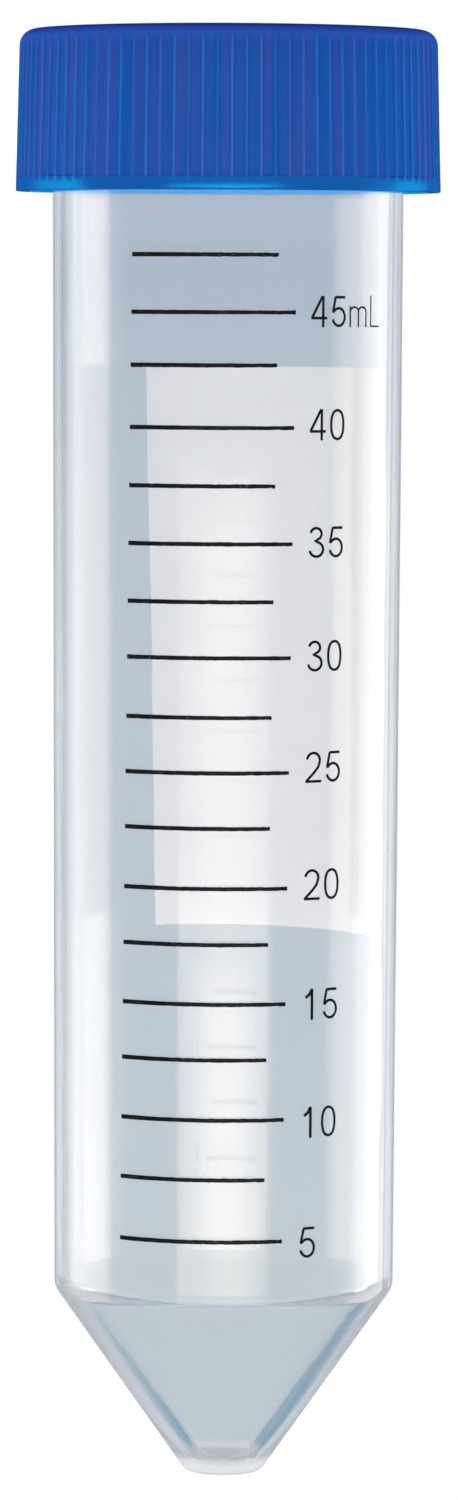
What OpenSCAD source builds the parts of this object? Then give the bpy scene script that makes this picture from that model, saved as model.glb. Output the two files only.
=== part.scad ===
// 50 ml conical centrifuge tube with a flat-topped screw cap.
// It stands upside down on its cap, as it does on a bench with no rack:
// the cap's flat top is the plane Z = 0, the tip points along +Z,
// and the origin is on the axis. Lengths are in millimetres.

/* [Tube] */
// Height of the tube from its mouth to its tip
tube_h = 116.7; // [70:0.1:140]
// Outside diameter of the body where it comes out of the cap
body_d = 28.5; // [16:0.1:36]
// Draft of the body's outside and inside, in degrees a side
body_draft = 0.23; // [0:0.01:0.6]
// Wall of the body
wall = 1; // [0.7:0.05:1.5]
// Height of the neck that the cap covers
neck_h = 10.6; // [8:0.1:16]
// How much wider the neck is than the body, a side
neck_step = 0.12; // [0:0.01:0.4]
// Height of the slope between neck and body
step_h = 1.9; // [0.5:0.1:3]
// Rounding of the mouth's two edges
mouth_round = 0.3; // [0.1:0.05:0.4]

/* [Cone and tip] */
// Height of the cone from its corner to the flat of the tip
cone_h = 15.4; // [10:0.1:24]
// Wall of the cone at its corner
cone_wall = 1.2; // [0.8:0.05:1.6]
// Diameter of the tip where the cone's side would meet its flat
tip_d = 6.15; // [5:0.05:8]
// Rounding of the tip's edge
tip_round = 1; // [0.3:0.1:1.5]
// Diameter of the flat floor inside
floor_d = 4; // [2:0.1:5]
// Thickness of the floor at the tip
floor_t = 1.9; // [1:0.1:3]

/* [Thread] */
// Climb of the thread's ridge in one turn
thread_pitch = 3.2; // [2:0.1:4]
// Turns of the thread around the neck
thread_turns = 2; // [1:0.25:2.5]
// Height of the ridge above the neck
thread_h = 1; // [0.6:0.05:1.4]
// Width of the ridge at its foot
thread_foot = 1.5; // [1:0.1:2]
// Width of the ridge at its crest
thread_crest = 0.6; // [0.3:0.1:0.9]
// Distance from the mouth to the middle of the ridge at its start
thread_start = 2.2; // [1.5:0.1:4]
// Clearance between the ridge's crest and the cap's bore
thread_gap = 0.25; // [0.1:0.05:0.5]

/* [Cap] */
// Height of the cap
cap_h = 13.1; // [10.5:0.1:19]
// Thickness of the cap's flat top
top_t = 1.3; // [1:0.05:2]
// Thickness of the skirt at its rim
skirt_t = 1.65; // [1.2:0.05:2.5]
// Draft of the cap's outside, in degrees
cap_draft = 1.4; // [0:0.1:1.5]
// Rounding of the edge of the flat top
cap_round = 1.3; // [0.5:0.1:1.4]
// Chamfer at the mouth of the cap's bore
cap_chamfer = 0.4; // [0.1:0.05:0.8]

/* [Grip] */
// Number of fine ribs around the cap, and of the grooves between them
groove_count = 93; // [40:1:100]
// Width of a groove at the cap's surface, which leaves a narrow rib beside it
groove_w = 0.95; // [0.7:0.05:1]
// Depth of a groove, whose sides lean out by 45 degrees
groove_depth = 0.15; // [0.1:0.05:0.3]
// Height of the smooth band at the cap's rim
band_h = 1.1; // [0.5:0.1:4]
// Distance from the flat top to the start of the grooves
groove_start = 0.65; // [0.3:0.05:3]

/* [Seal ring] */
// Clearance between the seal ring and the tube's mouth
seal_gap = 0.1; // [0.05:0.01:0.3]
// Thickness of the seal ring
seal_t = 0.9; // [0.6:0.05:1.5]
// How far the seal ring reaches into the mouth
seal_h = 2.4; // [1.5:0.1:4]
// Lead-in taper of the seal ring's end, across and along
seal_taper = 0.35; // [0.1:0.05:0.5]

/* [Hidden] */
$fn = 96;

// A length that takes a cut past the face it goes through
cut_extra = 1;
slope = tan(body_draft);

// Heights above the flat top that the object stands on
mouth_z = top_t;
neck_end_z = mouth_z + neck_h;
body_z = neck_end_z + step_h;
tip_z = mouth_z + tube_h;
corner_z = tip_z - cone_h;
floor_z = tip_z - floor_t;
band_z = cap_h - band_h;

// Radii of the tube
body_r = body_d / 2;
neck_r = body_r + neck_step;
corner_r = body_r - (corner_z - body_z) * slope;
mouth_r = body_r - wall + (body_z - mouth_z) * slope;
tip_r = tip_d / 2;
floor_r = floor_d / 2;

// The cone's half angle, and where its inside meets the body's inside
cone_angle = atan((corner_r - tip_r) / cone_h);
inner_corner_z = corner_z + (wall * cos(cone_angle) - cone_wall) / sin(cone_angle);
inner_corner_r = body_r - wall - (inner_corner_z - body_z) * slope;

// Angles of the thread's ridge: its end, the run-out at each end, and one step
ridge_end = 360 * thread_turns;
run_out = 45;
ridge_step = 7.5;
// How deep the ridge's foot sits in the neck's wall
ridge_sink = 0.3;
// Least share of the ridge's section, which keeps its ends under the neck's surface
least_share = 0.1;

// Radii of the cap
bore_r = neck_r + thread_h + thread_gap;
rim_r = bore_r + skirt_t;
seal_r = mouth_r - seal_gap;

// Radius of the cap's outside at a height, before its edge is rounded
function cap_r(z) = rim_r - (cap_h - z) * tan(cap_draft);

// Half the angle between the tip's flat and the cone's side
tip_half = (90 + cone_angle) / 2;
// Distance from the tip's sharp edge to where its rounding starts
tip_run = tip_round / tan(tip_half);
// Distance from the cap's sharp top edge to where its rounding starts
cap_run = cap_round * tan((90 - cap_draft) / 2);

// Outside of the tube, as half a section: a radius across, a height up
module tube_outside() {
    polygon([
        [0, mouth_z],
        [neck_r - mouth_round, mouth_z],
        [neck_r, mouth_z + mouth_round],
        [neck_r, neck_end_z],
        [body_r, body_z],
        [corner_r, corner_z],
        [tip_r + tip_run * sin(cone_angle), tip_z - tip_run * cos(cone_angle)],
        [tip_r - tip_run, tip_z - tip_round],
        [tip_r - tip_run, tip_z],
        [0, tip_z],
    ]);
    // true rounding of the tip's edge and of the mouth's outer edge
    translate([tip_r - tip_run, tip_z - tip_round]) circle(tip_round);
    translate([neck_r - mouth_round, mouth_z + mouth_round]) circle(mouth_round);
}

// Inside of the tube, open past its mouth
module tube_inside() {
    polygon([
        [0, mouth_z - cut_extra],
        [mouth_r + mouth_round, mouth_z - cut_extra],
        [mouth_r + mouth_round, mouth_z],
        [mouth_r, mouth_z + mouth_round],
        [inner_corner_r, inner_corner_z],
        [floor_r, floor_z],
        [0, floor_z],
    ]);
}

// Share of the ridge's full height at an angle: it runs out into the neck at both ends
function ridge_share(a) = min(1, a / run_out, (ridge_end - a) / run_out);

// Four corners of the ridge's section at an angle, foot to crest to foot
function ridge_corners(a) =
    let (
        z = mouth_z + thread_start + thread_pitch * a / 360,
        foot = neck_r - ridge_sink,
        crest = foot + (thread_h + ridge_sink) * max(ridge_share(a), least_share)
    ) [
        for (p = [[foot, -thread_foot], [crest, -thread_crest], [crest, thread_crest], [foot, thread_foot]])
            [p[0] * cos(a), p[0] * sin(a), z + p[1] / 2]
    ];

// Right-handed ridge of the thread, its foot inside the neck's wall
module thread_ridge() {
    steps = ceil(ridge_end / ridge_step);
    rings = [for (i = [0 : steps]) ridge_corners(ridge_end * i / steps)];
    sides = [for (i = [0 : steps - 1], k = [0 : 3])
        [4 * i + k, 4 * i + (k + 1) % 4, 4 * i + 4 + (k + 1) % 4, 4 * i + 4 + k]];
    triangles = [for (s = sides, h = [1, 2]) [s[0], s[h], s[h + 1]]];
    polyhedron([for (r = rings, p = r) p], concat([[3, 2, 1, 0]],
        triangles, [[for (k = [0 : 3]) 4 * steps + k]]));
}

module tube() {
    color([0.78, 0.86, 0.92, 0.55]) {
        rotate_extrude() difference() {
            tube_outside();
            tube_inside();
        }
        thread_ridge();
    }
}

// Outside of the cap, as half a section, with its top edge rounded
module cap_outside() {
    edge_r = cap_r(0);
    polygon([
        [0, 0],
        [edge_r - cap_run, 0],
        [edge_r - cap_run, cap_round],
        [edge_r + cap_run * sin(cap_draft), cap_run * cos(cap_draft)],
        [rim_r, cap_h],
        [0, cap_h],
    ]);
    translate([edge_r - cap_run, cap_round]) circle(cap_round);
}

// Inside of the cap, open past its rim
module cap_inside() {
    polygon([
        [0, top_t],
        [bore_r, top_t],
        [bore_r, cap_h - cap_chamfer],
        [bore_r + cap_chamfer, cap_h],
        [bore_r + cap_chamfer, cap_h + cut_extra],
        [0, cap_h + cut_extra],
    ]);
}

// Ring that plugs the tube's mouth, from inside the flat top
module seal_ring() {
    polygon([
        [seal_r - seal_t, top_t / 2],
        [seal_r, top_t / 2],
        [seal_r, top_t + seal_h - seal_taper],
        [seal_r - seal_taper, top_t + seal_h],
        [seal_r - seal_t, top_t + seal_h],
    ]);
}

// One groove of the grip, leaning with the skirt's draft
module groove() {
    translate([cap_r(band_z), 0, band_z]) rotate([0, cap_draft, 0])
    translate([0, 0, groove_start - band_z])
    linear_extrude(band_z - groove_start) polygon([
        [cut_extra, groove_w / 2],
        [0, groove_w / 2],
        [-groove_depth, groove_w / 2 - groove_depth],
        [-groove_depth, groove_depth - groove_w / 2],
        [0, -groove_w / 2],
        [cut_extra, -groove_w / 2],
    ]);
}

module cap() {
    color([0.12, 0.33, 0.72]) difference() {
        rotate_extrude() {
            difference() {
                cap_outside();
                cap_inside();
            }
            seal_ring();
        }
        for (i = [0 : groove_count - 1])
            rotate(i * 360 / groove_count) groove();
    }
}

tube();
cap();
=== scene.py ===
"""Looks of a 50 ml conical tube that stands on its screw cap: clear tube with its thread, printed
scale and writing patch, and the ribbed blue cap with its inner thread and seal ring.
Lengths are millimetres until a mesh is made, and Blender's metres after that."""

import math
import random

import bmesh
import bpy
from mathutils import Matrix, Vector
from mathutils.geometry import delaunay_2d_cdt


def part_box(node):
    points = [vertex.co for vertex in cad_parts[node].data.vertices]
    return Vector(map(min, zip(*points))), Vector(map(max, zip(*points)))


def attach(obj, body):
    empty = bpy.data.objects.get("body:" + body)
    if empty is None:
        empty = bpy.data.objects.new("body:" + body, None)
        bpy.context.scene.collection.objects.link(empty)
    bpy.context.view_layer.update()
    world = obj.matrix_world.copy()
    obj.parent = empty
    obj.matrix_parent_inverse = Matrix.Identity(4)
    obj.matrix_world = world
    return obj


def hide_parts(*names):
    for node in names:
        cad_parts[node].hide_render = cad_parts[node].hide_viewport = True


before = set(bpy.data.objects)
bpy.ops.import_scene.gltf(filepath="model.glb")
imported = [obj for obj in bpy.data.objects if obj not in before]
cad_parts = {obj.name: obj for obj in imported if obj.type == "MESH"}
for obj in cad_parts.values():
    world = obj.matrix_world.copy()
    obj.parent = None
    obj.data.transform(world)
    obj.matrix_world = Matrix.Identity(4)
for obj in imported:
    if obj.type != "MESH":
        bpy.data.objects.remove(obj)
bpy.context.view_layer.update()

MM = 0.001
tube_low, tube_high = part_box("tube")
_, cap_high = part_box("cap")

# ---------------------------------------------------------------- sizes
# as in the CAD source, apart from the neck's slope, which here ends inside the cap
MOUTH_Z, TIP_Z = tube_low.z / MM, tube_high.z / MM
CAP_H, RIM_R = cap_high.z / MM, cap_high.x / MM
BODY_R, DRAFT, WALL = 14.25, math.tan(math.radians(0.23)), 1.0
NECK_R, NECK_END_Z, BODY_Z = 14.37, MOUTH_Z + 9.8, MOUTH_Z + 12.5
MOUTH_ROUND = 0.3
CORNER_Z, TIP_R, TIP_ROUND = TIP_Z - 15.4, 3.075, 1.0
FLOOR_R, FLOOR_Z = 2.0, TIP_Z - 1.9
CONE_WALL = 1.2
CORNER_ROUND, INNER_CORNER_ROUND, FLOOR_ROUND = 1.6, 1.4, 0.4
PITCH, RIDGE_TURNS, RIDGE_H, RIDGE_START = 3.2, 2, 1.0, MOUTH_Z + 2.2
RIDGE_FOOT, RIDGE_CREST, RIDGE_SINK, RUN_OUT = 1.5, 0.6, 0.3, 45.0
BORE_R, TOP_T, CAP_DRAFT, CAP_ROUND = 15.62, 1.3, math.tan(math.radians(1.4)), 1.3
RIBS, GROOVE_W, GROOVE_DEPTH, GROOVE_START, BAND_Z = 93, 0.95, 0.15, 0.65, CAP_H - 1.1
SEAL_R, SEAL_T, SEAL_H, SEAL_TAPER = 13.2, 0.9, 2.4, 0.35
CAP_CHAMFER, GATE_DEPTH = 0.4, 0.12

# the print, measured on the tube: heights of the marks, from 5 ml near the cone towards the cap, 2.5 ml apart
MARK_Z = [97.15, 92.15, 87.33, 82.49, 78.01, 73.22, 68.73, 63.91, 59.47,
          55.04, 50.28, 45.81, 41.2, 36.59, 31.95, 26.99, 22.78, 18.21]
# heights of the numbers, from 5 towards 45
NUMBER_Z = [97.35, 87.65, 78.13, 68.49, 59.06, 50.16, 41.08, 31.71, 22.7]
LINE_W = 0.34
DIGIT_H, DIGIT_W, DIGIT_GAP, STROKE = 2.5, 1.47, 0.42, 0.22
LETTER_GAP, M_STROKE, L_STROKE = 0.5, 0.155, 0.135
# the print leans a little across the tube: each pair holds its angles at the first and the second height
LEAN_Z0, LEAN_Z1 = 18.0, 97.2
LINE_LEFT, LONG_RIGHT, SHORT_RIGHT = (-32.3, -36.8), (22.6, 19.6), (16.5, 13.3)
NUMBER_LEFT = (28.1, 25.8)
INK_LIFT, INK_T = 0.008, 0.02
PATCH_Z0, PATCH_Z1 = 27.4, 74.1
# each of the patch's two upright edges: its angle at the first height, and what it gains up to the second
PATCH_LEFT, PATCH_RIGHT = (-30.2, 4.4), (89, 2)
# how much farther up the patch's second end is at its right than at its left
PATCH_SLOPE = 0.25


def body_radius(z):
    """Outside radius of the tube's body at a height."""
    return BODY_R - (z - BODY_Z) * DRAFT


def bore_radius(z):
    """Inside radius of the tube's body at a height."""
    return body_radius(z) - WALL


# ---------------------------------------------------------------- meshes
class Skin:
    """A mesh gathered ring by ring."""

    def __init__(self):
        self.verts, self.faces = [], []

    def ring(self, points):
        """Adds points, and gives their numbers."""
        start = len(self.verts)
        self.verts += points
        return list(range(start, start + len(points)))

    def join(self, a, b):
        """Faces between two closed rings. A ring of one point is a pole, and one ring may have a whole
        number of times the other's points."""
        n, m = len(a), len(b)
        if n < m:
            self.join(b, a)
        elif m == 1:
            self.faces += [(a[i], a[(i + 1) % n], b[0]) for i in range(n)]
        elif n == m:
            self.faces += [(a[i], a[(i + 1) % n], b[(i + 1) % n], b[i]) for i in range(n)]
        else:
            k = n // m
            for i in range(m):
                mid = i * k + k // 2
                for j in range(i * k, mid):
                    self.faces.append((a[j], a[j + 1], b[i]))
                self.faces.append((a[mid], b[(i + 1) % m], b[i]))
                for j in range(mid, (i + 1) * k):
                    self.faces.append((a[j], a[(j + 1) % n], b[(i + 1) % m]))

    def rows(self, rings):
        """Adds rings, and joins each to the next."""
        made = [self.ring(r) for r in rings]
        for a, b in zip(made, made[1:]):
            self.join(a, b)
        return made

    def piece(self, name, sharp):
        """The finished object, smooth but for its edges that turn by more than an angle in degrees."""
        mesh = bpy.data.meshes.new(name)
        mesh.from_pydata([(x * MM, y * MM, z * MM) for x, y, z in self.verts], [], self.faces)
        bm = bmesh.new()
        bm.from_mesh(mesh)
        bmesh.ops.recalc_face_normals(bm, faces=bm.faces)
        bm.to_mesh(mesh)
        bm.free()
        mesh.polygons.foreach_set("use_smooth", [True] * len(mesh.polygons))
        mesh.set_sharp_from_angle(angle=math.radians(sharp))
        mesh.validate()
        obj = bpy.data.objects.new(name, mesh)
        bpy.context.scene.collection.objects.link(obj)
        return obj


def circle(r, z, n):
    """A ring of n points. r is a radius or a function of the angle."""
    out = []
    for i in range(n):
        a = 2 * math.pi * i / n
        rr = r(a) if callable(r) else r
        out.append((rr * math.cos(a), rr * math.sin(a), z))
    return out


def steps(a, b, n):
    """The ends of n equal steps from a to b."""
    return [a + (b - a) * i / n for i in range(1, n + 1)]


def fillet(before, corner, after, radius, n):
    """Points of a section's corner rounded to a radius."""
    p0, p1, p2 = Vector(before), Vector(corner), Vector(after)
    u, v = (p0 - p1).normalized(), (p2 - p1).normalized()
    half = u.angle(v) / 2
    run = radius / math.tan(half)
    centre = p1 + (u + v).normalized() * (radius / math.sin(half))
    a, b = p1 + u * run - centre, p1 + v * run - centre
    out = []
    total = a.angle_signed(b)
    for i in range(n + 1):
        t = -total * i / n
        cos, sin = math.cos(t), math.sin(t)
        out.append((centre.x + a.x * cos - a.y * sin, centre.y + a.x * sin + a.y * cos))
    return out


def between(start, end, n):
    """The points that cut a straight stretch of a section into n."""
    across, along = end[0] - start[0], end[1] - start[1]
    return [(start[0] + across * t, start[1] + along * t) for t in steps(0, 1, n)[:-1]]


def ridge_height(angle, z, start):
    """Height of a thread's ridge over its wall, at an angle in radians and a height."""
    best = 0.0
    turn_angle = math.degrees(angle) % 360
    for turn in range(RIDGE_TURNS + 1):
        a = turn_angle + 360 * turn
        end = 360 * RIDGE_TURNS
        if a > end:
            continue
        share = max(0.1, min(1, a / RUN_OUT, (end - a) / RUN_OUT))
        crest = (RIDGE_H + RIDGE_SINK) * share - RIDGE_SINK
        off = abs(z - start - PITCH * a / 360)
        if crest <= 0 or off >= RIDGE_FOOT / 2:
            continue
        t = (off - RIDGE_CREST / 2) / (RIDGE_FOOT / 2 - RIDGE_CREST / 2)
        best = max(best, crest if t <= 0 else crest - (crest + RIDGE_SINK) * t)
    return best


def make_tube():
    """Tube with its true wall: outside from mouth to tip, then inside back to the mouth."""
    sides, ridge_row = 288, 0.1
    mouth_r, corner_r = bore_radius(MOUTH_Z), body_radius(CORNER_Z)
    cone = math.atan((corner_r - TIP_R) / (TIP_Z - CORNER_Z))
    inner_z = CORNER_Z + (WALL * math.cos(cone) - CONE_WALL) / math.sin(cone)
    inner_r = bore_radius(inner_z)

    mouth = [(mouth_r, MOUTH_Z + MOUTH_ROUND), (mouth_r + MOUTH_ROUND, MOUTH_Z), (NECK_R - 0.8, MOUTH_Z)]
    for i in range(6):
        a = math.pi / 2 * i / 5
        across, along = MOUTH_ROUND * math.sin(a), MOUTH_ROUND * math.cos(a)
        mouth.append((NECK_R - MOUTH_ROUND + across, MOUTH_Z + MOUTH_ROUND - along))
    neck = [MOUTH_Z + MOUTH_ROUND + ridge_row * i for i in range(1, 94)]
    # the neck's slope ends inside the cap, so that the wall in sight is straight
    slope = [(NECK_R, NECK_END_Z), (body_radius(CAP_H - 0.3), CAP_H - 0.3), (body_radius(CAP_H), CAP_H)]
    body = [(body_radius(z), z) for z in steps(CAP_H, CORNER_Z - CORNER_ROUND, 32)]
    above_corner = (body_radius(CORNER_Z - 3), CORNER_Z - 3)
    corner = fillet(above_corner, (corner_r, CORNER_Z), (TIP_R, TIP_Z), CORNER_ROUND, 8)
    tip_edge = fillet((corner_r, CORNER_Z), (TIP_R, TIP_Z), (0, TIP_Z), TIP_ROUND, 8)
    outer = slope + body + corner + between(corner[-1], tip_edge[0], 10) + tip_edge + [(1.2, TIP_Z)]

    floor = fillet((0, FLOOR_Z), (FLOOR_R, FLOOR_Z), (inner_r, inner_z), FLOOR_ROUND, 5)
    above_inner = (bore_radius(inner_z - 3), inner_z - 3)
    inner_corner = fillet((FLOOR_R, FLOOR_Z), (inner_r, inner_z), above_inner, INNER_CORNER_ROUND, 7)
    bore = [(bore_radius(z), z) for z in steps(inner_corner[-1][1], MOUTH_Z + MOUTH_ROUND, 30)[:-1]]
    inner = [(1.0, FLOOR_Z)] + floor + between(floor[-1], inner_corner[0], 10) + inner_corner + bore

    skin = Skin()
    rings = [circle(r, z, sides) for r, z in mouth]
    rings += [circle(lambda a: NECK_R + ridge_height(a, z, RIDGE_START), z, sides) for z in neck]
    rings += [circle(r, z, sides) for r, z in outer]
    outside = skin.rows(rings)
    skin.join(outside[-1], skin.ring([(0, 0, TIP_Z)]))
    inside = skin.rows([circle(r, z, sides) for r, z in inner])
    skin.join(inside[0], skin.ring([(0, 0, FLOOR_Z)]))
    skin.join(inside[-1], outside[0])
    return skin.piece("clear_tube", sharp=32)


def groove_profile():
    """Columns of one rib pitch: distance from the groove's middle, and share of the groove's depth."""
    top, foot = GROOVE_W / 2, GROOVE_W / 2 - GROOVE_DEPTH
    half = [(0.1, 1.0), (foot - 0.02, 1.0), (foot + 0.02, 0.9), (top - 0.02, 0.1), (top + 0.02, 0.0)]
    return [(-d, s) for d, s in reversed(half)] + half


def make_cap():
    """Cap from the middle of its flat top, over the ribs to the rim, and back through bore and seal ring."""
    columns = []
    for i in range(RIBS):
        columns += [(i * 2 * math.pi / RIBS + d / (RIM_R - 0.1), share) for d, share in groove_profile()]
    # the inside has one column for each five of the outside
    inner_angles = [angle for angle, _ in columns[2::5]]

    def side(z):
        return RIM_R - (CAP_H - z) * CAP_DRAFT

    def outer_ring(r, z, cut):
        radii = [r - cut * share for _, share in columns]
        return [(rr * math.cos(a), rr * math.sin(a), z) for rr, (a, _) in zip(radii, columns)]

    def inner_ring(r, z):
        radii = [r(a) if callable(r) else r for a in inner_angles]
        return [(rr * math.cos(a), rr * math.sin(a), z) for rr, a in zip(radii, inner_angles)]

    # flat top with a shallow dish at the mould's gate
    arc = fillet((0, 0), (side(0), 0), (side(5), 5), CAP_ROUND, 12)
    dish = [(0.5, GATE_DEPTH / 2), (0.62, GATE_DEPTH), (1.5, GATE_DEPTH), (1.9, 0.0)]
    top = [inner_ring(r, z) for r, z in dish + [(8, 0), (arc[0][0] - 0.6, 0)]]

    rows = []
    for r, z in arc:
        rows.append((r, z, 0.0 if z < GROOVE_START else max(0.0, GROOVE_DEPTH - (side(z) - r))))
    rows += [(side(z), z, GROOVE_DEPTH) for z in (2.0, 3.5, 5.5, 7.5, 9.5, 11.0, 11.6, 11.85)]
    for above, share in ((-0.04, 0.8), (0, 0.1), (0.08, 0)):
        rows.append((side(BAND_Z + above), BAND_Z + above, GROOVE_DEPTH * share))
    rows += [(side(CAP_H - below), CAP_H - below, 0) for below in (0.5, 0.12)]
    rows += [(RIM_R - 0.03, CAP_H - 0.03, 0), (RIM_R - 0.12, CAP_H, 0), (RIM_R - 0.3, CAP_H, 0)]

    # the cap's ridge is a little higher than the tube's, and half a turn's climb from it
    ridge_start, ridge_rows, ridge_share = RIDGE_START + PITCH / 2, 90, 1.02
    chamfer_z = CAP_H - CAP_CHAMFER
    bore = [inner_ring(16.6, CAP_H), inner_ring(BORE_R + CAP_CHAMFER, CAP_H), inner_ring(BORE_R, chamfer_z)]
    for z in steps(chamfer_z, TOP_T + 0.4, ridge_rows)[:-1]:
        bore.append(inner_ring(lambda a: BORE_R - ridge_share * ridge_height(a, z, ridge_start), z))
    bore += [inner_ring(BORE_R - inward, TOP_T + up) for inward, up in ((0, 0.3), (0.09, 0.09), (0.3, 0))]
    seal = [(SEAL_R, TOP_T), (SEAL_R, TOP_T + SEAL_H - SEAL_TAPER), (SEAL_R - SEAL_TAPER, TOP_T + SEAL_H)]
    seal += [(SEAL_R - SEAL_T, TOP_T + SEAL_H), (SEAL_R - SEAL_T, TOP_T), (6, TOP_T)]
    bore += [inner_ring(r, z) for r, z in seal]

    skin = Skin()
    centre = skin.ring([(0, 0, GATE_DEPTH / 2)])
    top = skin.rows(top)
    skin.join(top[0], centre)
    outside = skin.rows([outer_ring(*row) for row in rows])
    skin.join(outside[0], top[-1])
    inside = skin.rows(bore)
    skin.join(outside[-1], inside[0])
    skin.join(inside[-1], skin.ring([(0, 0, TOP_T)]))
    return skin.piece("screw_cap", sharp=38)


# ---------------------------------------------------------------- the print
def on_tube(angle, z, lift, back=False):
    """Point over the body's outside. The angle is positive to the reader's right, from the printed side."""
    r, a = body_radius(z) + lift, math.radians(angle)
    return (-r * math.sin(a), (r if back else -r) * math.cos(a), z)


def thin_shell(skin, grid, back=False):
    """A closed thin shell over a grid of (angle, z), row by row, a little off the tube's outside."""
    rows, cols = len(grid), len(grid[0])
    low = [skin.ring([on_tube(a, z, INK_LIFT, back) for a, z in row]) for row in grid]
    high = [skin.ring([on_tube(a, z, INK_LIFT + INK_T, back) for a, z in row]) for row in grid]
    for i in range(rows - 1):
        for j in range(cols - 1):
            skin.faces.append((high[i][j], high[i][j + 1], high[i + 1][j + 1], high[i + 1][j]))
            skin.faces.append((low[i][j], low[i + 1][j], low[i + 1][j + 1], low[i][j + 1]))
    rim = [(0, j) for j in range(cols)] + [(i, cols - 1) for i in range(1, rows)]
    rim += [(rows - 1, j) for j in range(cols - 2, -1, -1)] + [(i, 0) for i in range(rows - 2, 0, -1)]
    for (i, j), (k, l) in zip(rim, rim[1:] + rim[:1]):
        skin.faces.append((low[i][j], low[k][l], high[k][l], high[i][j]))


def lean(z, angles):
    """An angle of the print at a height, from its two angles at the lean's two heights."""
    t = (z - LEAN_Z0) / (LEAN_Z1 - LEAN_Z0)
    return angles[0] + (angles[1] - angles[0]) * t


def make_lines():
    """Marks of the scale, every other one long, with slightly rough edges."""
    rng = random.Random(5)
    cols = 90
    skin = Skin()
    for k, z in enumerate(MARK_Z):
        left, right = lean(z, LINE_LEFT), lean(z, SHORT_RIGHT if k % 2 else LONG_RIGHT)
        upper, lower = [], []
        for j in range(cols + 1):
            t = j / cols
            rough = 0.012 + 0.018 * t
            wide = LINE_W / 2 * (1.06 - 0.14 * t)
            a = left + (right - left) * t
            upper.append((a, z - wide + rng.gauss(0, rough * 0.6)))
            lower.append((a, z + wide + rng.gauss(0, rough * 0.6)))
        mid = [(a, z) for a, _ in upper]
        thin_shell(skin, [upper, mid, lower])
    return skin.piece("scale_lines", sharp=40)


def arc_points(cx, cy, rx, ry, a0, a1, n, power=2.0):
    """Points of an arc between two angles in degrees. A power over 2 makes its oval squarer."""
    out = []
    for i in range(n + 1):
        a = math.radians(a0 + (a1 - a0) * i / n)
        c, s = math.cos(a), math.sin(a)
        x = cx + rx * math.copysign(abs(c) ** (2 / power), c)
        y = cy + ry * math.copysign(abs(s) ** (2 / power), s)
        out.append((x, y))
    return out


def glyph(char):
    """Strokes of a character as middle lines, with its width and stroke width."""
    h, w, s = DIGIT_H, DIGIT_W, STROKE
    e = s / 2
    if char == "0":
        return [arc_points(w / 2, h / 2, w / 2 - e, h / 2 - e, 90, 450, 40, 2.35)], w, s
    if char == "1":
        flag, stem = [(0.2 * w, 0.72 * h), (0.44 * w, 0.82 * h), (0.6 * w, h)], [(0.6 * w, h), (0.6 * w, 0)]
        return [flag, stem], w, s * 1.1
    if char == "2":
        top = arc_points(w / 2, h * 0.72, w / 2 - e - 0.03, h * 0.28 - e, 172, -20, 14)
        neck = [(0.8 * w, 0.5 * h), (0.5 * w, 0.3 * h), (0.14 * w, 0.1 * h), (e, e)]
        return [top + neck, [(0.0, e), (w, e)]], w, s
    if char == "3":
        up = arc_points(w * 0.48, h * 0.77, w * 0.42 - e, h * 0.23 - e, 170, -88, 14)
        low = arc_points(w * 0.5, h * 0.275, w / 2 - e, h * 0.275 - e, 88, -170, 16)
        return [up, [(0.36 * w, h * 0.542), (0.54 * w, h * 0.542)], low], w, s
    if char == "4":
        slant, bar = [(0.7 * w, h - 0.02), (0.03 * w, 0.29 * h)], [(0, 0.29 * h), (w, 0.29 * h)]
        return [slant, bar, [(0.74 * w, h), (0.74 * w, 0)]], w, s
    if char == "5":
        flag = [(0.95 * w, h - e), (0.25 * w, h - e)]
        bowl = arc_points(w * 0.5, h * 0.325, w / 2 - e, h * 0.325 - e, 140, -165, 18)
        return [flag, [(0.27 * w, h - e), (0.11 * w, 0.5 * h), bowl[0]] + bowl], w, s
    if char == "m":
        x, s = 0.67 * h, M_STROKE
        e, r = s / 2, 0.47
        lines = [[(e, 0), (e, x)]]
        for foot in (e, e + 2 * r):
            bow = arc_points(foot + r, x - r * 0.9, r, r * 0.9 - e, 175, 0, 10)
            lines.append([(foot, 0.62 * x)] + bow + [(foot + 2 * r, 0)])
        return lines, 4 * r + s, s
    if char == "L":
        s, wide = L_STROKE, 1.25
        return [[(s / 2, h), (s / 2, s / 2)], [(0, s / 2), (wide, s / 2)]], wide, s
    raise ValueError(char)


def disc(centre, radius):
    """Corners of a disc, turned a little off the bars' own corners."""
    sides = 14
    angles = [2 * math.pi * k / sides + 0.1 for k in range(sides)]
    return [centre + Vector((math.cos(a), math.sin(a))) * radius for a in angles]


def stroke_faces(lines, s):
    """Convex pieces that cover the strokes: a bar for each stretch and a disc at each bend."""
    out = []
    for line in lines:
        for i, (p, q) in enumerate(zip(line, line[1:])):
            p, q = Vector(p), Vector(q)
            if (q - p).length < 1e-6:
                continue
            d = (q - p).normalized() * (s / 2)
            side = Vector((-d.y, d.x))
            out.append([p + side, p - side, q - side, q + side])
            if i:
                out.append(disc(p, s / 2))
    return out


def flat_character(char):
    """Points and triangles that fill a character, with its width."""
    lines, width, s = glyph(char)
    points, faces = [], []
    for poly in stroke_faces(lines, s):
        faces.append(list(range(len(points), len(points) + len(poly))))
        points += poly
    verts, _, tris, _, _, covered = delaunay_2d_cdt(points, [], faces, 1, 1e-5)
    return verts, [t for t, c in zip(tris, covered) if c], width


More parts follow.
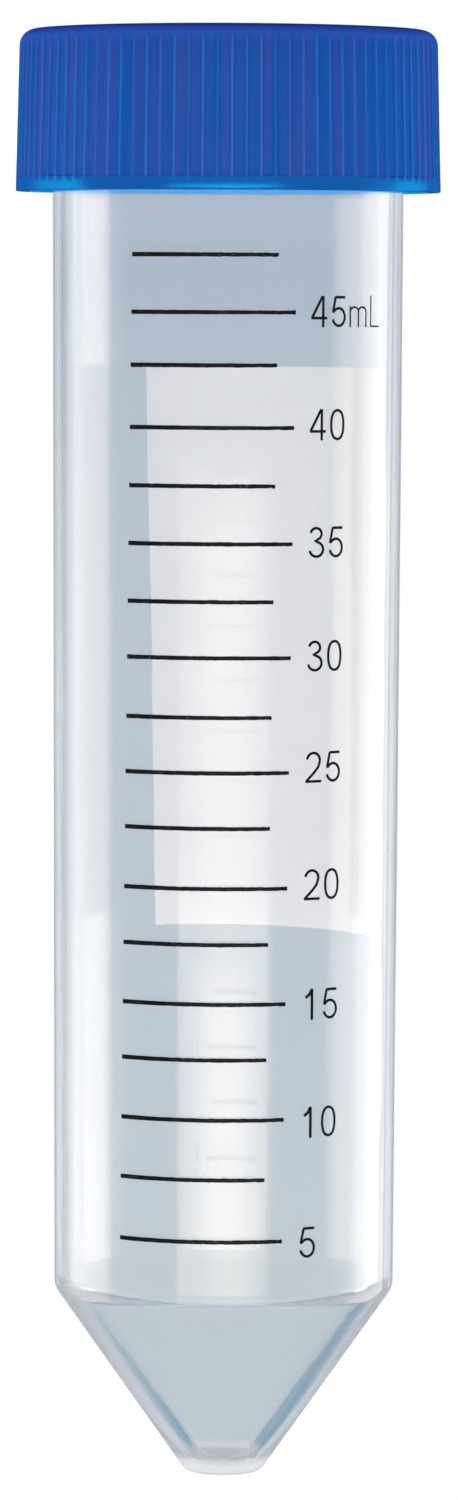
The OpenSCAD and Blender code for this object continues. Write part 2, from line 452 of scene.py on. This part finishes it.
def make_numbers():
    """Numbers of the scale as thin prints, 5 to 45, the last with its unit."""
    skin = Skin()
    for k, z in enumerate(NUMBER_Z):
        start, r = lean(z, NUMBER_LEFT), body_radius(z)
        x = 0.0
        for char in str(5 * (k + 1)) + ("mL" if k == len(NUMBER_Z) - 1 else ""):
            verts, tris, width = flat_character(char)

            def place(v, lift):
                return on_tube(start + math.degrees((x + v.x) / r), z + DIGIT_H / 2 - v.y, lift)

            low = skin.ring([place(v, INK_LIFT) for v in verts])
            high = skin.ring([place(v, INK_LIFT + INK_T) for v in verts])
            # an edge that a second triangle does not share is on the outline, and gets a side
            edges = {}
            for t in tris:
                skin.faces.append(tuple(high[i] for i in t))
                skin.faces.append(tuple(low[i] for i in reversed(t)))
                for a, b in zip(t, t[1:] + t[:1]):
                    if (b, a) in edges:
                        del edges[b, a]
                    else:
                        edges[a, b] = True
            for a, b in edges:
                skin.faces.append((high[a], low[a], low[b], high[b]))
            x += width + (DIGIT_GAP if char.isdigit() else LETTER_GAP)
    return skin.piece("scale_numbers", sharp=40)


def make_patch():
    """Writing patch on the side away from the scale, a little askew."""
    rng = random.Random(11)
    cols, rows = 96, 24
    side_rough, end_rough = 0.04, 0.012
    grid = []
    for i in range(rows + 1):
        t = i / rows
        z = PATCH_Z0 + (PATCH_Z1 - PATCH_Z0) * t
        left = PATCH_LEFT[0] + PATCH_LEFT[1] * t + rng.gauss(0, side_rough)
        right = PATCH_RIGHT[0] + PATCH_RIGHT[1] * t + rng.gauss(0, side_rough)
        across = [j / cols for j in range(cols + 1)]
        grid.append([(left + (right - left) * u, z + PATCH_SLOPE * t * u) for u in across])
    for i in (0, rows):
        grid[i] = [(a, z + rng.gauss(0, end_rough)) for a, z in grid[i]]
    skin = Skin()
    thin_shell(skin, grid, back=True)
    return skin.piece("writing_patch", sharp=40)


# ---------------------------------------------------------------- materials
CLEAR_TINT = (0.95, 0.95, 0.965)
# light that has been reflected more often than this inside the clear wall is let out of it
MOST_TURNS = 2.5


def material(name):
    """A new material, its empty node tree and its output."""
    mat = bpy.data.materials.new(name)
    mat.use_nodes = True
    nt = mat.node_tree
    nt.nodes.clear()
    out = nt.nodes.new("ShaderNodeOutputMaterial")
    return mat, nt, out


def feed(nt, socket, value):
    """Links an output to a socket, or sets the socket to a constant."""
    if hasattr(value, "is_output"):
        nt.links.new(value, socket)
    else:
        socket.default_value = value


def add(nt, kind, **sockets):
    """A new node, its sockets fed by name, with an underscore for each space."""
    node = nt.nodes.new(kind)
    for key, value in sockets.items():
        feed(nt, node.inputs[key.replace("_", " ")], value)
    return node


def axes(nt, vector):
    """The x, y and z outputs of a vector."""
    return add(nt, "ShaderNodeSeparateXYZ", Vector=vector).outputs


def noise(nt, coord, scale, detail=2.0, rough=0.5, stretch=(1, 1, 1)):
    """Noise in millimetres: scale is how many features fit in one, times stretch along each axis."""
    place = add(nt, "ShaderNodeMapping", Vector=coord.outputs["Object"], Scale=[s / MM for s in stretch])
    tex = add(nt, "ShaderNodeTexNoise", Vector=place.outputs[0], Scale=scale, Detail=detail, Roughness=rough)
    return tex.outputs["Fac"]


def ranged(nt, value, low, high, to_low, to_high):
    """A value carried from one range to another, and kept inside it."""
    node = add(nt, "ShaderNodeMapRange", Value=value, From_Min=low, From_Max=high)
    node.inputs["To Min"].default_value, node.inputs["To Max"].default_value = to_low, to_high
    return node.outputs["Result"]


def zone(nt, length, none, full):
    """A share that goes from 0 to 1 between two lengths in millimetres."""
    return ranged(nt, length, none * MM, full * MM, 0, 1)


def maths(nt, kind, *values):
    """One step of arithmetic on outputs and constants."""
    node = nt.nodes.new("ShaderNodeMath")
    node.operation = kind
    for value, socket in zip(values, node.inputs):
        feed(nt, socket, value)
    return node.outputs[0]


def bump(nt, height, distance):
    """A normal bent by a height, which is a share of a distance in millimetres."""
    return add(nt, "ShaderNodeBump", Distance=distance * MM, Height=height).outputs["Normal"]


def colour_ramp(nt, value, stops):
    """A colour by a value, from a list of places and colours."""
    node = nt.nodes.new("ShaderNodeValToRGB")
    while len(node.color_ramp.elements) < len(stops):
        node.color_ramp.elements.new(0.5)
    for element, (at, colour) in zip(node.color_ramp.elements, stops):
        element.position, element.color = at, (*colour, 1)
    nt.links.new(value, node.inputs["Fac"])
    return node.outputs["Color"]


def blend(nt, share, colour, tone):
    """A colour mixed towards a fixed tone by a share."""
    factor, first, second, result = 0, 6, 7, 2
    node = nt.nodes.new("ShaderNodeMix")
    node.data_type = "RGBA"
    nt.links.new(share, node.inputs[factor])
    nt.links.new(colour, node.inputs[first])
    node.inputs[second].default_value = (*tone, 1)
    return node.outputs[result]


def mix_shader(nt, share, first, second):
    """A shader that goes from the first to the second by a share."""
    node = nt.nodes.new("ShaderNodeMixShader")
    for value, socket in zip((share, first, second), node.inputs):
        feed(nt, socket, value)
    return node.outputs[0]


def clear_plastic():
    mat, nt, out = material("clear_plastic")
    coord = nt.nodes.new("ShaderNodeTexCoord")
    _, _, z = axes(nt, coord.outputs["Object"])
    wave = noise(nt, coord, 0.35, 2, 0.5, (1, 1, 0.12))
    bsdf = add(nt, "ShaderNodeBsdfPrincipled", Base_Color=(*CLEAR_TINT, 1), IOR=1.49)
    bsdf.inputs["Specular Tint"].default_value = (1.0, 0.82, 0.66, 1)
    # the thick tip is milky
    clear = ranged(nt, z, (TIP_Z - 1.7) * MM, (TIP_Z - 0.9) * MM, 0.97, 0.2)
    nt.links.new(clear, bsdf.inputs["Transmission Weight"])
    nt.links.new(ranged(nt, wave, 0.3, 0.7, 0.02, 0.05), bsdf.inputs["Roughness"])
    nt.links.new(bump(nt, wave, 0.02), bsdf.inputs["Normal"])
    # lamps shine through the wall, and light with too many turns inside it leaves it
    see = add(nt, "ShaderNodeBsdfTransparent", Color=(*[math.sqrt(c) for c in CLEAR_TINT], 1))
    path = nt.nodes.new("ShaderNodeLightPath")
    lost = maths(nt, "GREATER_THAN", path.outputs["Glossy Depth"], MOST_TURNS)
    share = maths(nt, "MAXIMUM", path.outputs["Is Shadow Ray"], lost)
    nt.links.new(mix_shader(nt, share, bsdf.outputs[0], see.outputs[0]), out.inputs["Surface"])
    return mat


def blue_plastic():
    mat, nt, out = material("blue_plastic")
    coord = nt.nodes.new("ShaderNodeTexCoord")
    x, y, z = axes(nt, coord.outputs["Object"])
    squares = [maths(nt, "MULTIPLY", v, v) for v in (x, y)]
    radius = maths(nt, "SQRT", maths(nt, "ADD", *squares))
    outside = zone(nt, radius, 16.6, 16.9)
    band = maths(nt, "MULTIPLY", outside, zone(nt, z, BAND_Z - 0.05, BAND_Z + 0.05))
    # painted highlight: a fine paler line runs along each rib's crest, standing in for the lamps' glint
    # there, stronger on some than on others
    across = maths(nt, "FRACT", maths(nt, "MULTIPLY", maths(nt, "ARCTAN2", y, x), RIBS / (2 * math.pi)))
    fine = ranged(nt, maths(nt, "ABSOLUTE", maths(nt, "SUBTRACT", across, 0.5)), 0.09, 0.035, 0, 1)
    ribbed = maths(nt, "MULTIPLY", outside, zone(nt, z, GROOVE_START + 0.1, GROOVE_START + 0.7))
    uneven_highlight = ranged(nt, noise(nt, coord, 0.7, 2, 0.6, (1, 1, 0.03)), 0.35, 0.65, 0.3, 1.0)
    crest = maths(nt, "MULTIPLY", ribbed, maths(nt, "MULTIPLY", fine, uneven_highlight))
    # painted light: the rounding of the top's edge is paler too, making up for the little light it gets as it
    # faces the floor
    painted_light_edge = maths(nt, "MULTIPLY", zone(nt, radius, 15.3, 15.7), zone(nt, z, 1.6, 0.4))
    # painted light: the thin lip of the bore is painted bright cyan, for light that shines through it
    painted_lip_glow = maths(nt, "MULTIPLY", zone(nt, radius, 16.4, 16.2), zone(nt, z, CAP_H - 1.5, CAP_H - 1.0))
    streak = noise(nt, coord, 0.9, 3, 0.6, (1, 1, 0.03))
    tones = [(0.36, (0.011, 0.08, 0.41)), (0.5, (0.023, 0.072, 0.39)), (0.64, (0.042, 0.064, 0.38))]
    colour = colour_ramp(nt, streak, tones)
    # painted light on the top's rounded edge
    colour = blend(nt, painted_light_edge, colour, (0.032, 0.1, 0.52))
    # painted highlight along the rib crests
    colour = blend(nt, crest, colour, (0.03, 0.16, 0.60))
    colour = blend(nt, band, colour, (0.01, 0.072, 0.39))
    # painted glow of light through the bore's lip
    colour = blend(nt, painted_lip_glow, colour, (0.0, 0.44, 1.0))
    # the smooth band's face is a little crowned
    grain = noise(nt, coord, 5.0, 2)
    rise = ranged(nt, z, BAND_Z * MM, CAP_H * MM, 0, 1.1)
    crown = maths(nt, "MULTIPLY", rise, maths(nt, "SUBTRACT", -0.045, maths(nt, "MULTIPLY", rise, 0.016)))
    normal = bump(nt, maths(nt, "ADD", crown, maths(nt, "MULTIPLY", grain, 0.014)), 1.0)
    bsdf = add(nt, "ShaderNodeBsdfPrincipled", Base_Color=colour, Roughness=0.5, Normal=normal)
    bsdf.inputs["Specular IOR Level"].default_value = 0.0
    # the gloss is blue too: soft on the ribs, brighter on the smooth band, and none in the bore
    satin = ranged(nt, grain, 0.3, 0.7, 0.3, 0.42)
    satin = maths(nt, "MULTIPLY", satin, ranged(nt, band, 0, 1, 1, 0.35))
    gloss = add(nt, "ShaderNodeBsdfGlossy", Color=(0.0, 0.56, 0.98, 1), Normal=normal, Roughness=satin)
    share = maths(nt, "MULTIPLY", outside, ranged(nt, band, 0, 1, 0.055, 0.145))
    nt.links.new(mix_shader(nt, share, bsdf.outputs[0], gloss.outputs[0]), out.inputs["Surface"])
    return mat


def black_ink():
    mat, nt, out = material("black_ink")
    coord = nt.nodes.new("ShaderNodeTexCoord")
    # the mesh of the screen leaves pinholes
    mesh = noise(nt, coord, 6.0, 2, 0.6)
    tones = [(0.0, (0.002, 0.002, 0.003)), (0.62, (0.003, 0.003, 0.004)), (0.72, (0.12, 0.12, 0.13))]
    bsdf = add(nt, "ShaderNodeBsdfPrincipled", Base_Color=colour_ramp(nt, mesh, tones))
    bsdf.inputs["Specular IOR Level"].default_value = 0.12
    nt.links.new(ranged(nt, mesh, 0.3, 0.7, 0.25, 0.5), bsdf.inputs["Roughness"])
    nt.links.new(bump(nt, mesh, 0.015), bsdf.inputs["Normal"])
    nt.links.new(bsdf.outputs[0], out.inputs["Surface"])
    return mat


def white_ink():
    mat, nt, out = material("white_ink")
    coord = nt.nodes.new("ShaderNodeTexCoord")
    cloud = noise(nt, coord, 0.25, 3)
    tones = [(0.3, (0.90, 0.885, 0.865)), (0.7, (0.95, 0.935, 0.915))]
    bsdf = add(nt, "ShaderNodeBsdfPrincipled", Base_Color=colour_ramp(nt, cloud, tones), Alpha=0.94)
    grain = noise(nt, coord, 12.0, 2)
    nt.links.new(ranged(nt, grain, 0.3, 0.7, 0.5, 0.7), bsdf.inputs["Roughness"])
    nt.links.new(bump(nt, grain, 0.004), bsdf.inputs["Normal"])
    through = add(nt, "ShaderNodeBsdfTranslucent", Color=(0.96, 0.94, 0.92, 1))
    nt.links.new(mix_shader(nt, 0.7, bsdf.outputs[0], through.outputs[0]), out.inputs["Surface"])
    return mat


MATERIALS = {
    "clear_plastic": clear_plastic(),
    "blue_plastic": blue_plastic(),
    "black_ink": black_ink(),
    "white_ink": white_ink(),
}


def dress(obj, body, slot):
    """Gives a piece its material, and ties it to its body and slot."""
    obj.data.materials.append(MATERIALS[slot])
    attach(obj, body)
    return obj


tube = dress(make_tube(), "tube", "clear_plastic")
cap = dress(make_cap(), "cap", "blue_plastic")
dress(make_lines(), "tube", "black_ink")
dress(make_numbers(), "tube", "black_ink")
dress(make_patch(), "tube", "white_ink")
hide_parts("tube")
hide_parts("cap")
for node_name, slot_name in (("tube", "clear_plastic"), ("cap", "blue_plastic")):
    cad_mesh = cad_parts[node_name].data
    cad_mesh.materials.clear()
    cad_mesh.materials.append(MATERIALS[slot_name])


# ---------------------------------------------------------------- floor, light and camera
WHITE, WARM = (1, 1, 1), (1, 0.96, 0.93)
AMBIENT = (0.6, 0.61, 0.62)
GLOSSY_SKY = (0.45, 0.48, 0.52)
# what shows through the clear wall, by how high the sight line points: straight ahead...
AHEAD = [
    (0.0, (0.385, 0.475, 0.565)), (0.012, (0.43, 0.525, 0.6)), (0.055, (0.47, 0.56, 0.63)),
    (0.105, (0.461, 0.557, 0.619)), (0.15, (0.51, 0.59, 0.625)), (0.2, (0.535, 0.612, 0.637)),
    (0.36, (0.545, 0.615, 0.64)), (0.46, (0.61, 0.65, 0.685)), (0.525, (0.61, 0.65, 0.685)),
    (0.555, (0.45, 0.585, 0.645)),
]
# ...and after a reflection in the wall
ASIDE = [
    (0.0, (0.32, 0.40, 0.46)), (0.05, (0.49, 0.55, 0.60)), (0.1, (0.57, 0.60, 0.64)),
    (0.41, (0.60, 0.65, 0.70)), (0.48, (0.29, 0.44, 0.535)), (0.57, (0.13, 0.315, 0.435)),
    (0.65, (0.12, 0.31, 0.43)), (0.75, (0.22, 0.36, 0.45)),
]
# share of the floor that sight meets as a backdrop and not as a lit surface, and the backdrop's strength
FLOOR_GLOW, FLOOR_LEVEL = 0.9, 1.05
# how far a lamp's twin stands behind it in metres, and how much stronger it is
TWIN_GAP, TWIN_SHARE = 0.002, 1.9
# levels of a lamp by height in metres: even all the way up
TALL, LOW, BEHIND = [(0.0, 1), (0.45, 1)], [(0.0, 1), (0.2, 1)], [(0.0, 1), (0.3, 1)]


def straight_through(nt):
    """1 for sight that has gone through the clear wall with no reflection, and 0 for all else."""
    path = nt.nodes.new("ShaderNodeLightPath")
    unturned = maths(nt, "LESS_THAN", path.outputs["Glossy Depth"], 0.5)
    return maths(nt, "MULTIPLY", path.outputs["Is Transmission Ray"], unturned)


def seen_as(nt, rest, glossy, aside, ahead, camera):
    """One shader for each kind of ray. Light that reaches a surface through the clear wall is plain too."""
    path = nt.nodes.new("ShaderNodeLightPath")
    indirect = ranged(nt, path.outputs["Diffuse Depth"], 0, 1, 0, 1)
    result = mix_shader(nt, path.outputs["Is Glossy Ray"], rest.outputs[0], glossy.outputs[0])
    result = mix_shader(nt, path.outputs["Is Transmission Ray"], result, aside.outputs[0])
    result = mix_shader(nt, straight_through(nt), result, ahead.outputs[0])
    result = mix_shader(nt, indirect, result, rest.outputs[0])
    return mix_shader(nt, path.outputs["Is Camera Ray"], result, camera.outputs[0])


def make_floor():
    """Pale floor that sight meets almost as bright as the backdrop, so that only its shadows show."""
    mat, nt, out = material("floor_white")
    coord = nt.nodes.new("ShaderNodeTexCoord")
    tones = [(0.3, (0.88, 0.88, 0.88)), (0.7, (0.9, 0.9, 0.9))]
    diffuse = add(nt, "ShaderNodeBsdfDiffuse", Color=colour_ramp(nt, noise(nt, coord, 0.02, 3), tones))
    glows = []
    for colour in (GLOSSY_SKY, ASIDE[0][1], AHEAD[0][1], WHITE):
        glows.append(add(nt, "ShaderNodeEmission", Color=(*colour, 1), Strength=FLOOR_LEVEL))
    soft = mix_shader(nt, FLOOR_GLOW, diffuse.outputs[0], seen_as(nt, diffuse, *glows))
    nt.links.new(soft, out.inputs["Surface"])
    bpy.ops.mesh.primitive_plane_add(size=6, location=(0, 0, 0))
    floor = bpy.context.object
    floor.name = "floor"
    floor.data.materials.append(mat)


def make_world():
    """Backdrop with a colour for each kind of ray, and a ramp for each kind that has gone through the
    wall."""
    world = bpy.data.worlds.new("studio")
    bpy.context.scene.world = world
    world.use_nodes = True
    nt = world.node_tree
    nt.nodes.clear()
    out = nt.nodes.new("ShaderNodeOutputWorld")
    skies = []
    for colour in (AMBIENT, GLOSSY_SKY, WHITE, WHITE, WHITE):
        skies.append(add(nt, "ShaderNodeBackground", Color=(*colour, 1), Strength=1.0))
    rest, glossy, aside, ahead, camera = skies
    coord = nt.nodes.new("ShaderNodeTexCoord")
    x, _, z = axes(nt, coord.outputs["Generated"])
    # the high parts of the backdrop are not quite the same on both sides
    for slant, ramp, shader in ((-0.45, ASIDE, aside), (0.35, AHEAD, ahead)):
        share = maths(nt, "ADD", maths(nt, "MULTIPLY", x, slant), 1.0)
        colour = colour_ramp(nt, maths(nt, "MULTIPLY", z, share), ramp)
        nt.links.new(colour, shader.inputs["Color"])
    nt.links.new(seen_as(nt, rest, glossy, aside, ahead, camera), out.inputs["Surface"])


def straight_so_far(nt, path):
    """1 for a path that has gone through the clear wall and has made no turn, and 0 for all else."""
    turns = maths(nt, "ADD", path.outputs["Glossy Depth"], path.outputs["Diffuse Depth"])
    through = maths(nt, "GREATER_THAN", path.outputs["Transmission Depth"], 0.5)
    return maths(nt, "MULTIPLY", through, maths(nt, "LESS_THAN", turns, 0.5))


def lamp_shown(nt, bare, twin):
    """1 where a lamp is on and 0 where it is off. A lamp's nodes are told how many turns a path has made,
    but not the kind of its last ray. No lamp is on after too many turns inside the wall."""
    path = nt.nodes.new("ShaderNodeLightPath")
    if twin:
        return straight_so_far(nt, path)
    few = maths(nt, "LESS_THAN", path.outputs["Glossy Depth"], MOST_TURNS)
    if bare:
        return few
    return maths(nt, "MULTIPLY", few, maths(nt, "SUBTRACT", 1.0, straight_so_far(nt, path)))


def softbox(name, distance, radiance, across, up, bare=False, colour=WHITE):
    """An area lamp that faces the tube's axis. across lists its levels at angles from the camera's side,
    positive to the picture's right, and up lists them at heights.
    A bare lamp lights surfaces, and does not show in them or through the wall. Any other lamp is off for
    sight that has gone straight through the clear wall. It has a twin, which is on for that sight alone,
    so it lights the surfaces that such sight meets, and does not show through the wall either."""
    first, last = across[0][0], across[-1][0]
    a, half = math.radians((first + last) / 2), math.radians((last - first) / 2)
    z0, z1 = up[0][0], up[-1][0]
    width, height = 2 * distance * math.tan(half), z1 - z0
    sideways = []
    for angle, level in reversed(across):
        sideways.append((0.5 - 0.5 * math.tan(math.radians(angle) - a) / math.tan(half), level))
    upward = [((z - z0) / height, level) for z, level in up]
    for twin in (False,) if bare else (False, True):
        data = bpy.data.lights.new(name + "_twin" * twin, "AREA")
        data.shape = "RECTANGLE"
        data.size, data.size_y = width, height
        data.energy = radiance * (TWIN_SHARE if twin else 1) * math.pi * width * height
        data.color = colour
        data.use_nodes = True
        nt = data.node_tree
        place = nt.nodes.new("ShaderNodeNewGeometry")
        x, y, _ = axes(nt, place.outputs["Parametric"])
        both = nt.nodes.new("ShaderNodeVectorMath")
        both.operation = "MULTIPLY"
        for value, levels, socket in zip((x, y), (sideways, upward), both.inputs):
            nt.links.new(colour_ramp(nt, value, [(at, (v, v, v)) for at, v in levels]), socket)
        glow = nt.nodes["Emission"]
        nt.links.new(both.outputs[0], glow.inputs["Color"])
        nt.links.new(lamp_shown(nt, bare, twin), glow.inputs["Strength"])
        obj = bpy.data.objects.new(data.name, data)
        # the twin stands just behind, because a ray meets only one of two lamps in the same place
        away = distance + TWIN_GAP * twin
        obj.location = (-away * math.sin(a), -away * math.cos(a), (z0 + z1) / 2)
        obj.rotation_euler = Vector((math.sin(a), math.cos(a), 0)).to_track_quat("-Z", "Y").to_euler()
        obj.visible_camera = False
        obj.visible_glossy = not bare
        obj.visible_transmission = not (bare or twin)
        bpy.context.scene.collection.objects.link(obj)


def make_camera():
    """An eye a little over the cap's rim that looks slightly up, turned over so that the cap is at the
    picture's top."""
    eye = (-0.00026, -0.546, 0.0202)
    pitch, roll = math.radians(4.02), math.radians(0.25)
    look = Vector((0, math.cos(pitch), math.sin(pitch)))
    up = Vector((0, math.sin(pitch), -math.cos(pitch)))
    right = look.cross(up)
    r = right * math.cos(roll) + up * math.sin(roll)
    u = up * math.cos(roll) - right * math.sin(roll)
    data = bpy.data.cameras.new("camera")
    data.sensor_fit = "VERTICAL"
    data.sensor_height, data.sensor_width = 24, 65
    data.lens = 107.09
    data.clip_start, data.clip_end = 0.01, 20
    cam = bpy.data.objects.new("camera", data)
    cam.matrix_world = Matrix.Translation(eye) @ Matrix((r, u, -look)).transposed().to_4x4()
    bpy.context.scene.collection.objects.link(cam)
    bpy.context.scene.camera = cam


make_floor()
make_world()
softbox("softbox_left", 0.5, 2.4,
        [(-138.5, 0.1), (-131, 0.22), (-119, 0.74), (-108, 0.83), (-96, 0.92), (-89, 0.95), (-82, 0.0)],
        TALL, colour=WARM)
softbox("softbox_right", 0.5, 2.6,
        [(82, 0.17), (98, 0.31), (101, 0.68), (110, 0.9), (119, 0.95), (125, 0.74), (133, 0.62), (137, 0.35)],
        TALL, colour=WARM)
softbox("rim_left", 0.5, 0.27, [(-160, 1.0), (-150, 1.0), (-147, 0.0)], LOW)
softbox("rim_right", 0.5, 0.37, [(141, 0.6), (149, 0.6), (151, 1.0), (158, 1.0)], LOW)
softbox("softbox_front", 0.7, 3.7,
        [(-33, 0.0), (-31, 0.5), (-16, 0.62), (-5, 0.88), (5, 0.93), (14, 0.83), (24, 0.5), (35, 0.0)],
        [(0.061, 0.42), (0.14, 0.42), (0.155, 1), (0.35, 1)])
softbox("softbox_back", 0.6, 4.3, [(150, 1.0), (210, 1.0)], BEHIND, bare=True)
make_camera()
bpy.context.scene.view_settings.view_transform = "Standard"
